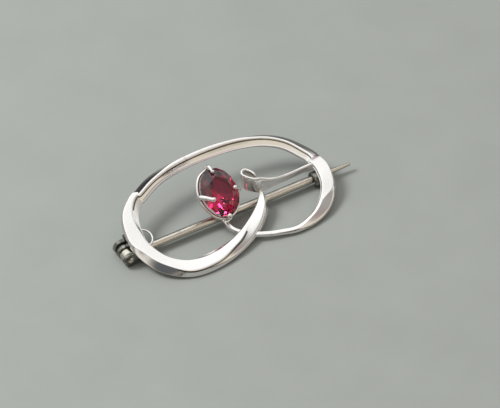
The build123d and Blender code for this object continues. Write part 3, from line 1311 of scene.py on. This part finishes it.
@dataclass
class PinStem(Assembly):
    """The pin: a flat eye, a flat neck, a round stem and a long taper to a blunt point.

    Shares run along each length, places are distances from the hinge's middle, and each shoulder is a place and how
    square the pin still is there.
    """

    radius: float = 0.65
    length: float = 40.5
    taper: float = 8.0
    point: float = 0.5
    neck: float = 1.0
    stem_start: float = 3.5
    eye: float = 2.1
    bore: float = 0.78
    bore_sides: int = 40
    sides: int = 20
    square: float = 7.0
    circle: float = 2.0
    shoulder_swell: float = 0.05
    eye_shares: tuple[float, ...] = (-0.995, -0.95, -0.84, -0.65, -0.4, -0.1, 0.2, 0.45, 0.65, 0.78, 0.86)
    neck_places: tuple[float, ...] = (1.0, 1.4, 2.0, 2.6, 3.0)
    shoulders: tuple[tuple[float, float], ...] = ((3.15, 4.0), (3.35, 2.5))
    stem_shares: tuple[float, ...] = (0.0, 0.02, 0.2, 0.4, 0.6, 0.8, 0.97, 1.0)
    taper_shares: tuple[float, ...] = (0.04, 0.25, 0.5, 0.75, 1.0)
    point_angles: tuple[float, ...] = (25.0, 48.0, 66.0, 80.0)

    def section(self, x: float, half_width: float, half_height: float, power: float) -> list[Vector]:
        """Draws a ring of the pin.

        Args:
            x: its distance from the hinge's middle.
            half_width: half its width.
            half_height: half its height.
            power: how square it is: 2 is round.

        Returns:
            Its points.
        """
        ring = []
        for k in range(self.sides):
            a = 2 * math.pi * (k + 0.5) / self.sides
            c, s = math.cos(a), math.sin(a)
            y = math.copysign(abs(c) ** (2 / power), c) * half_width
            z = math.copysign(abs(s) ** (2 / power), s) * half_height
            ring.append(self.layout.on_pin(Vector((x, y, z))))
        return ring

    def build(self) -> None:
        """Makes the pin."""
        r, eye, tip = self.radius, self.eye / 2, self.point / 2
        straight = self.length - self.taper
        rings = []
        for share in self.eye_shares:
            rings.append(self.section(share * eye, r, math.sqrt(1 - share**2) * eye, self.square))
        for x in self.neck_places:
            rings.append(self.section(x, r, self.neck / 2, self.square))
        for x, power in self.shoulders:
            rings.append(self.section(x, r, (r + self.neck / 2) / 2 + self.shoulder_swell, power))
        for share in self.stem_shares:
            x = self.stem_start + share * (straight - self.stem_start)
            rings.append(self.section(x, r, r, self.circle))
        for share in self.taper_shares:
            x = straight + share * (self.taper - tip)
            here = r + share * (tip - r)
            rings.append(self.section(x, here, here, self.circle))
        for degrees in self.point_angles:
            angle = math.radians(degrees)
            here = tip * math.cos(angle)
            rings.append(self.section(self.length - tip + tip * math.sin(angle), here, here, self.circle))
        shaft = Skin("pin_shaft", rings).build()
        self.drill(shaft)
        finish_skin(shaft, edges=Edges.TURNED)
        self.dress(shaft, self.finishes.pin, "pin_stem", body=Body.PIN, slot=Slot.PIN)

    def drill(self, shaft: bpy.types.Object) -> None:
        """Bores the eye for the rivet.

        Args:
            shaft: the pin, before it is smoothed.
        """
        deselect_all()
        bpy.ops.mesh.primitive_cylinder_add(
            vertices=self.bore_sides,
            radius=self.bore / 2 * MM,
            depth=4 * self.radius * MM,
            location=self.layout.pivot,
            rotation=(math.pi / 2, 0, 0),
        )
        bit = bpy.context.object
        pick(shaft)
        cut = shaft.modifiers.new("bore", "BOOLEAN")
        cut.object, cut.operation, cut.solver = bit, "DIFFERENCE", "EXACT"
        bpy.ops.object.modifier_apply(modifier=cut.name)
        pick(bit)
        bpy.ops.object.delete()


@dataclass
class Catch(Assembly):
    """A C of strip round the pin, open downwards, on a small block under the lobe."""

    inner: float = 0.9
    wall: float = 0.35
    centre: float = -0.2
    mouth: float = 1.44
    end: float = 35.8
    length: float = 2.3
    block_top: float = 1.44
    block_half: float = 0.72
    block_share: float = 0.7
    outer_steps: int = 22
    inner_steps: int = 18
    hook_bevel: float = 0.07
    block_bevel: float = 0.1

    def build(self) -> None:
        """Makes the hook and its block."""
        outline = []
        for radius, count, way in (
            (self.inner + self.wall, self.outer_steps, 1),
            (self.inner, self.inner_steps, -1),
        ):
            open_half = math.asin(self.mouth / 2 / radius)
            start, end = -math.pi / 2 + open_half, 1.5 * math.pi - open_half
            for k in range(count + 1)[::way]:
                a = start + (end - start) * k / count
                outline.append((radius * math.cos(a), self.centre + radius * math.sin(a)))
        places = (self.end - self.length, self.end - self.length / 2, self.end)
        self.bar("catch_hook", outline, places, self.hook_bevel)
        half, low, top = self.block_half, self.centre + self.inner + self.wall / 2, self.block_top
        corners = [(-half, low), (half, low), (half, top), (-half, top)]
        self.bar("catch_block", corners, (self.end - self.block_share * self.length, self.end), self.block_bevel)

    def bar(
        self, name: str, outline: Sequence[tuple[float, float]], places: Sequence[float], bevel: float
    ) -> None:
        """Makes and dresses a piece with one outline all along the pin's way.

        Args:
            name: the piece's name.
            outline: its points across the pin: sideways and up.
            places: how far along the pin its rings lie.
            bevel: width of the rounding of its edges.
        """
        rings = [[self.layout.on_pin(Vector((x, y, z))) for y, z in outline] for x in places]
        piece = finish_skin(Skin(name, rings).build(), edges=Edges.BEVELLED, bevel=bevel)
        # The catch's dark grey finish is partly painted shade.
        self.dress(piece, self.finishes.hinge, "silver_frame")


@dataclass
class ChainRing(Assembly):
    """A closed ring of thin wire, soldered against the band's back."""

    diameter: float = 3.16
    wire: float = 0.34
    place: Vector = field(default_factory=lambda: Vector((3.22, 1.2, 1.1)))
    around: int = 40
    wire_sides: int = 12

    def build(self) -> None:
        """Makes the ring."""
        thick = self.wire / 2
        rings = []
        for i in range(self.around):
            a = 2 * math.pi * i / self.around
            outward = Vector((math.cos(a), math.sin(a), 0))
            ring = []
            for k in range(self.wire_sides):
                b = 2 * math.pi * k / self.wire_sides
                reach = self.diameter / 2 + thick * math.cos(b)
                ring.append(self.layout.on_swirl(self.place + outward * reach + Vector((0, 0, thick * math.sin(b)))))
            rings.append(ring)
        piece = finish_skin(Skin("chain_ring", rings, closed=True).build())
        self.dress(piece, self.finishes.wire, "silver_frame")


# Floor, lights and camera


@dataclass(frozen=True)
class Patch:
    """A soft patch of the room: where it is, the cosines of its rim and core, and how it shades the room."""

    towards: Triple
    rim: float
    core: float
    colour: Colour


@dataclass(frozen=True)
class Lamp:
    """A soft square light that faces the brooch: its place and side in metres, its power and its colour."""

    name: str
    place: Triple
    side: float
    power: float
    colour: Colour


@dataclass
class Studio:
    """A plain pale floor, soft lights and the camera.

    The silver mirrors the floor in the mirrored colours, which change over far_reach, a distance in metres to the
    far right. The room is dark at the dusk height and bright from the dawn height on, with a warm tint that is full
    at near_full towards the near side.
    """

    look_at: Vector = field(default_factory=lambda: Vector((-0.25, -5.66, 6.95)))
    towards: Vector = field(default_factory=lambda: Vector((-0.357, -0.611, 0.707)))
    view_width: float = 78.125
    lens: float = 600.0
    sensor: float = 36.0
    clip: tuple[float, float] = (0.01, 50.0)
    floor_side: float = 3.0
    floor_dark: Colour = (0.26, 0.279, 0.269)
    floor_light: Colour = (0.30, 0.321, 0.308)
    floor_roughness: float = 0.85
    mottle_scale: float = 90.0
    mirrored_near: Colour = (0.23, 0.235, 0.23)
    mirrored_far: Colour = (0.075, 0.077, 0.08)
    far_reach: tuple[float, float] = (0.015, 0.045)
    dusk: float = -0.08
    dawn: float = 0.26
    dusk_colour: Colour = (0.05, 0.05, 0.053)
    dawn_colour: Colour = (1.0, 1.0, 1.0)
    near_tint: Colour = (0.84, 0.77, 0.66)
    near_full: float = -0.4
    room_strength: float = 0.86
    patches: tuple[Patch, ...] = (
        Patch((-0.6, -0.6, 0.45), 0.90, 0.97, (0.14, 0.16, 0.2)),
        Patch((0.64, -0.17, 0.75), 0.91, 0.985, (0.45, 0.45, 0.45)),
        Patch((-0.1, 0.5, 0.85), 0.76, 0.94, (1.5, 1.5, 1.5)),
        Patch((-0.1, -0.97, 0.1), 0.86, 0.97, (0.3, 0.29, 0.27)),
        Patch((0.357, -0.4, 0.845), 0.97, 0.99, (0.85, 0.65, 0.85)),
        Patch((0.25, 0.95, 0.1), 0.82, 0.92, (0.1, 0.1, 0.11)),
    )
    lamps: tuple[Lamp, ...] = (Lamp("key_light", (-0.28, 0.22, 0.42), 0.18, 2.6, (1.0, 0.985, 0.96)),)

    def floor(self) -> None:
        """Lays the floor, which is darker as the silver mirrors it, most of all to the far right."""
        deselect_all()
        bpy.ops.mesh.primitive_plane_add(size=self.floor_side, location=(0, 0, 0))
        plane = bpy.context.object
        plane.name = "floor"
        material, nodes = new_material("pale_floor")
        place = nodes.add("ShaderNodeTexCoord").outputs["Object"]
        mottle = nodes.add("ShaderNodeTexNoise", Scale=self.mottle_scale, Detail=4.0)
        nodes.join(place, mottle.inputs["Vector"])
        seen = nodes.mix(self.floor_dark, self.floor_light, mottle.outputs[0])
        parts = nodes.add("ShaderNodeSeparateXYZ")
        nodes.join(place, parts.inputs[0])
        beyond = nodes.spread(nodes.maths("ADD", parts.outputs["X"], parts.outputs["Y"]), *self.far_reach)
        mirrored = nodes.mix(self.mirrored_near, self.mirrored_far, beyond)
        ray = nodes.add("ShaderNodeLightPath")
        shader = nodes.add("ShaderNodeBsdfPrincipled", Roughness=self.floor_roughness)
        nodes.join(nodes.mix(seen, mirrored, ray.outputs["Is Glossy Ray"]), shader.inputs["Base Color"])
        nodes.show(shader)
        plane.data.materials.append(material)

    def light(self, lamp: Lamp) -> None:
        """Hangs a light.

        Args:
            lamp: the light.
        """
        deselect_all()
        bpy.ops.object.light_add(type="AREA", location=lamp.place)
        hung = bpy.context.object
        hung.name = lamp.name
        hung.data.size, hung.data.energy, hung.data.color = lamp.side, lamp.power, lamp.colour
        hung.rotation_euler = Vector(lamp.place).to_track_quat("Z", "Y").to_euler()
        hung.visible_camera = hung.visible_glossy = False

    def room(self) -> None:
        """Fills the room with light: bright from above, warm and dimmer from the near side, dark at the horizon."""
        world = bpy.context.scene.world or bpy.data.worlds.new("room")
        bpy.context.scene.world = world
        world.use_nodes = True
        nodes = Nodes(world.node_tree)
        way = nodes.add("ShaderNodeTexCoord").outputs["Generated"]
        parts = nodes.add("ShaderNodeSeparateXYZ")
        nodes.join(way, parts.inputs[0])
        ramp = nodes.add("ShaderNodeValToRGB")
        nodes.join(parts.outputs["Z"], ramp.inputs[0])
        ramp.color_ramp.interpolation = "EASE"
        for element, position, colour in zip(
            ramp.color_ramp.elements, (self.dusk, self.dawn), (self.dusk_colour, self.dawn_colour)
        ):
            element.position, element.color = position, (*colour, 1.0)
        nearness = nodes.spread(parts.outputs["Y"], 0.0, self.near_full)
        shown = nodes.mix(ramp.outputs[0], self.near_tint, nearness, Blend.MULTIPLY)
        for patch in self.patches:
            facing = nodes.add("ShaderNodeVectorMath", operation="DOT_PRODUCT")
            nodes.join(way, facing.inputs[0])
            facing.inputs[1].default_value = Vector(patch.towards).normalized()
            share = nodes.spread(facing.outputs["Value"], patch.rim, patch.core)
            shown = nodes.mix(shown, patch.colour, share, Blend.MULTIPLY)
        back = nodes.add("ShaderNodeBackground", Strength=self.room_strength)
        nodes.join(shown, back.inputs["Color"])
        nodes.show(back, "ShaderNodeOutputWorld")

    def camera(self) -> None:
        """Sets the camera at the photograph's angle, far off with a long lens."""
        deselect_all()
        target = self.look_at * MM
        away = self.view_width * MM * self.lens / self.sensor
        bpy.ops.object.camera_add(location=target + self.towards.normalized() * away)
        camera = bpy.context.object
        camera.name = "camera"
        camera.data.lens, camera.data.sensor_width = self.lens, self.sensor
        camera.data.clip_start, camera.data.clip_end = self.clip
        camera.rotation_euler = self.towards.to_track_quat("Z", "Y").to_euler()
        bpy.context.scene.camera = camera
        bpy.context.scene.view_settings.view_transform = "Standard"

    def build(self) -> None:
        """Sets up the floor, the lights and the camera."""
        self.floor()
        self.room()
        for lamp in self.lamps:
            self.light(lamp)
        self.camera()


def main() -> None:
    """Builds the studio, then every part in order."""
    logging.basicConfig(level=logging.INFO, format="%(name)s: %(message)s")
    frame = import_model()
    layout = Layout(pivot=Vector(frame["joints"][0]["pos_m"]))
    finishes = Finishes()
    Studio().build()
    for part in (SwirlBand, Leaf, ClawSetting, Hinge, PinStem, Catch, ChainRing):
        part(layout, finishes).build()
    garnet = frame["nodes"]["garnet"]
    garnet.data.materials.clear()
    garnet.data.materials.append(finishes.garnet)
    log.info("garnet: %d faces", len(garnet.data.polygons))


if __name__ == "__main__":
    main()
